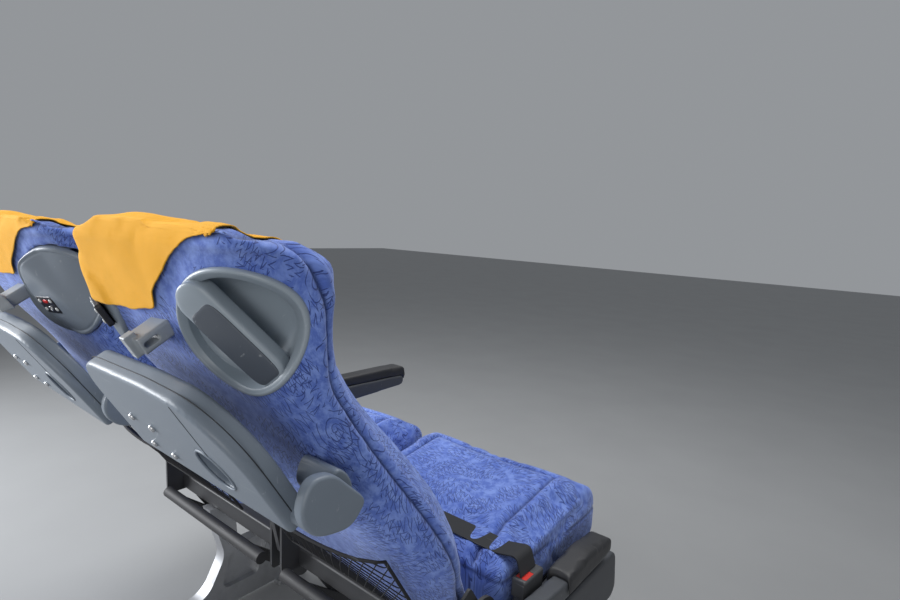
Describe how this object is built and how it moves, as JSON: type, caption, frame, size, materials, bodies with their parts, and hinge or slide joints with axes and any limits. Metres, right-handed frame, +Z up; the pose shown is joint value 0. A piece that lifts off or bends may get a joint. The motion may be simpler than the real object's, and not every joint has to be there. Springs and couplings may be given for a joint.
{
  "type": "double coach passenger seat",
  "caption": "Two-place coach seat on floor legs, with reclining backs, folding trays, grab handle, nets, lap belts, armrests and footrests.",
  "frame": {"origin": "on the floor, at the middle of the floor bolt pattern under the two legs", "axes": "+Y the way the passengers face, +X towards the aisle, +Z up"},
  "size_m": [1.082, 0.8643, 0.991],
  "materials": {
    "seat_fabric": "blue mottled moquette with navy scribbles",
    "cover_cloth": "ribbed yellow-orange cloth",
    "grey_plastic": "satin moulded, fine grain",
    "dark_bar": "satin moulded, worn",
    "latch_grey": "moulded",
    "socket_black": "moulded",
    "net_black": "elastic net",
    "webbing_black": "woven webbing",
    "buckle_silver": "satin moulded",
    "button_red": "moulded",
    "retractor_black": "moulded",
    "arm_pad_black": "soft skinned foam",
    "arm_plastic": "moulded, fine grain",
    "cover_plastic": "moulded, fine grain",
    "frame_steel": "black powder coat",
    "footrest_black": "black powder coat",
    "leg_aluminium": "cast, satin"
  },
  "bodies": {
    "base": {"aisle_arm_hub": "arm_plastic", "aisle_leg": "leg_aluminium", "aisle_side_cover": "cover_plastic", "belt_buckle_aisle": "buckle_silver", "belt_buckle_window": "buckle_silver", "belt_retractors": "retractor_black", "belt_webbing_aisle": "webbing_black", "belt_webbing_window": "webbing_black", "buckle_buttons": "button_red", "centre_arm_post": "frame_steel", "cushion_aisle": "seat_fabric", "cushion_window": "seat_fabric", "floor_clamps": "leg_aluminium", "footrest_hangers": "frame_steel", "front_beam": "frame_steel", "rear_beam": "frame_steel", "recliner_plate_aisle": "frame_steel", "recliner_plate_wall": "frame_steel", "recliner_plates_centre": "frame_steel", "seat_pan_aisle": "frame_steel", "seat_pan_window": "frame_steel", "wall_leg": "leg_aluminium", "wall_side_cover": "cover_plastic"},
    "aisle_arm": {"aisle_armrest": "arm_plastic", "aisle_armrest_pad": "arm_pad_black"},
    "back_aisle": {"back_pad_aisle": "seat_fabric", "back_shell_aisle": "seat_fabric", "grab_bar": "dark_bar", "grab_bowl": "grey_plastic", "headrest_cover_aisle": "cover_cloth", "magazine_net_aisle": "net_black", "recliner_arms_aisle": "frame_steel", "socket_plate_aisle": "socket_black", "socket_trim": "grey_plastic", "tray_hinge_aisle": "grey_plastic", "tray_latch_aisle": "latch_grey"},
    "back_window": {"back_pad_window": "seat_fabric", "back_shell_window": "seat_fabric", "headrest_cover_window": "cover_cloth", "magazine_net_window": "net_black", "oval_dish": "grey_plastic", "recliner_arms_window": "frame_steel", "socket_plate_window": "socket_black", "tray_hinge_window": "grey_plastic", "tray_latch_window": "latch_grey"},
    "centre_arm": {"centre_armrest": "arm_plastic", "centre_armrest_pad": "arm_pad_black"},
    "footrest_aisle": {"footrest_aisle": "footrest_black"},
    "footrest_window": {"footrest_window": "footrest_black"},
    "tray_aisle": {"tray_aisle": "grey_plastic"},
    "tray_window": {"tray_window": "grey_plastic"}
  },
  "joints": [
    {"name": "recline_aisle", "type": "hinge", "parent": "base", "child": "back_aisle", "pos_m": [0.245, -0.003, 0.4], "axis": [1, 0, 0], "range_deg": [-18, 6]},
    {"name": "tray_fold_aisle", "type": "hinge", "parent": "back_aisle", "child": "tray_aisle", "pos_m": [0.245, -0.29712, 0.67255], "axis": [1, 0, 0], "range_deg": [0, 76]},
    {"name": "footrest_swing_aisle", "type": "hinge", "parent": "base", "child": "footrest_aisle", "pos_m": [0.245, 0.092, 0.19], "axis": [1, 0, 0], "range_deg": [0, 70]},
    {"name": "recline_window", "type": "hinge", "parent": "base", "child": "back_window", "pos_m": [-0.245, -0.003, 0.4], "axis": [1, 0, 0], "range_deg": [-19.5, 4.5]},
    {"name": "tray_fold_window", "type": "hinge", "parent": "back_window", "child": "tray_window", "pos_m": [-0.245, -0.30416, 0.66476], "axis": [1, 0, 0], "range_deg": [0, 76]},
    {"name": "footrest_swing_window", "type": "hinge", "parent": "base", "child": "footrest_window", "pos_m": [-0.245, 0.092, 0.19], "axis": [1, 0, 0], "range_deg": [0, 70]},
    {"name": "centre_arm_lift", "type": "hinge", "parent": "base", "child": "centre_arm", "pos_m": [0, -0.062, 0.628], "axis": [1, 0, 0], "range_deg": [0, 100]},
    {"name": "aisle_arm_lift", "type": "hinge", "parent": "base", "child": "aisle_arm", "pos_m": [0.523, -0.003, 0.398], "axis": [1, 0, 0], "range_deg": [0, 100]}
  ]
}
